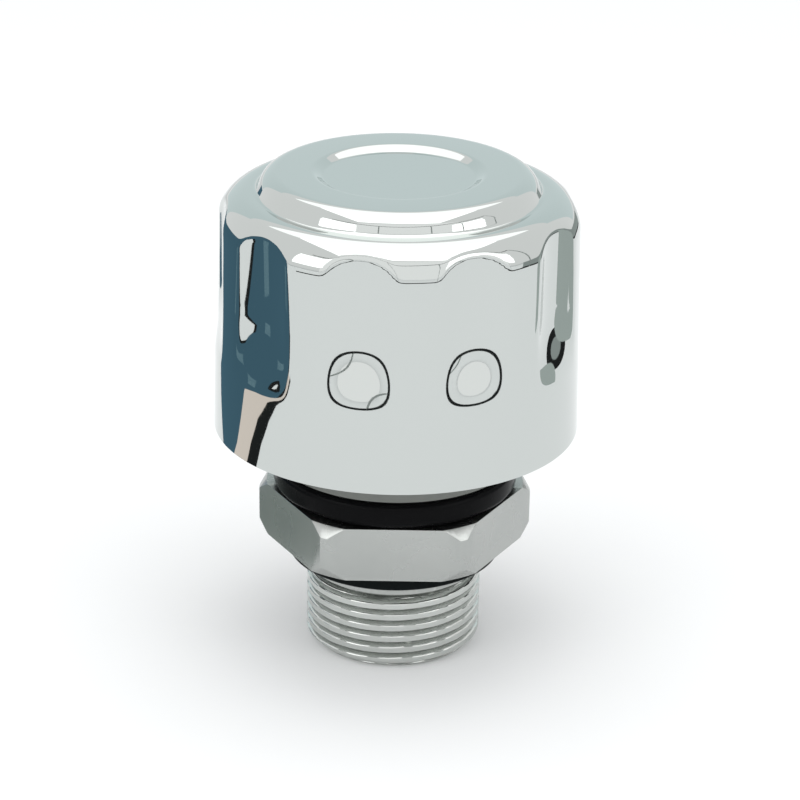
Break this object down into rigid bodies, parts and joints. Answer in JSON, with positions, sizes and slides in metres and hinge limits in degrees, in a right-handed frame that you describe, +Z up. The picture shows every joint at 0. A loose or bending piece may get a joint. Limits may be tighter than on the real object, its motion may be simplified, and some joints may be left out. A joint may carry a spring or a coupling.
{
  "type": "breather cap",
  "caption": "Screw-on tank breather: fluted drawn cap over a pleated air filter and valves, on a hexagon adapter with a pipe thread.",
  "frame": {"origin": "centre of the tank face, where the underside of the lower seal rests", "axes": "+Z up out of the tank through the cap; +X across two corners of the hexagon, +Y across its flats"},
  "size_m": [0.0542, 0.0542, 0.0743],
  "materials": {
    "cap_chrome": "bright chrome plate on drawn sheet",
    "plated_hex": "satin nickel plate, machined",
    "collar_metal": "turned, plated",
    "rubber_upper": "smooth moulded rubber",
    "rubber_lower": "smooth moulded rubber",
    "rubber_valve": "flat rubber sheet",
    "stainless_sheet": "rolled stainless sheet",
    "zinc_sheet": "bright zinc plate on pressed sheet",
    "tinplate": "tinplate",
    "spring_wire": "drawn spring wire",
    "valve_brass": "turned brass",
    "filter_paper": "resin-treated filter paper",
    "felt": "pressed felt"
  },
  "bodies": {
    "adapter": {"hex_adapter": "plated_hex", "lower_seal": "rubber_lower", "splash_screen": "stainless_sheet", "screen_snap_ring": "spring_wire"},
    "seal_carrier": {"upper_seal_ring": "rubber_upper"},
    "cap": {"neck_collar": "collar_metal", "base_plate": "zinc_sheet", "cap_shell": "cap_chrome", "collar_nut": "collar_metal", "filter_felt": "felt", "filter_bottom_cap": "tinplate", "filter_top_cap": "tinplate", "filter_core": "tinplate", "filter_media": "filter_paper", "filter_screen": "stainless_sheet", "hold_down_spring": "spring_wire", "valve_seat": "valve_brass", "valve_cage": "zinc_sheet"},
    "pressure_valve": {"pressure_plate": "stainless_sheet", "pressure_seal": "rubber_valve", "pressure_spring": "spring_wire"},
    "suction_valve": {"suction_stem": "valve_brass", "suction_seal": "rubber_valve", "stem_clip": "spring_wire", "suction_spring": "spring_wire"}
  },
  "joints": [
    {"name": "cap_lift", "type": "slide", "parent": "adapter", "child": "seal_carrier", "axis": [0, 0, 1], "range_m": [0, 0.006]},
    {"name": "cap_turn", "type": "hinge", "parent": "seal_carrier", "child": "cap", "pos_m": [0, 0, 0], "axis": [0, 0, 1], "range_deg": [0, 1440]},
    {"name": "pressure_valve_lift", "type": "slide", "parent": "cap", "child": "pressure_valve", "axis": [0, 0, 1], "range_m": [0, 0.0025], "stiffness_N_per_m": 1200, "springref_m": -0.004, "deforming": ["pressure_spring"]},
    {"name": "suction_valve_drop", "type": "slide", "parent": "pressure_valve", "child": "suction_valve", "axis": [0, 0, -1], "range_m": [0, 0.0016], "stiffness_N_per_m": 60, "springref_m": -0.003, "deforming": ["suction_spring"]}
  ],
  "couplings": [
    {"joint": "cap_turn", "follows": "cap_lift", "rad_per_m": 4188.8}
  ]
}
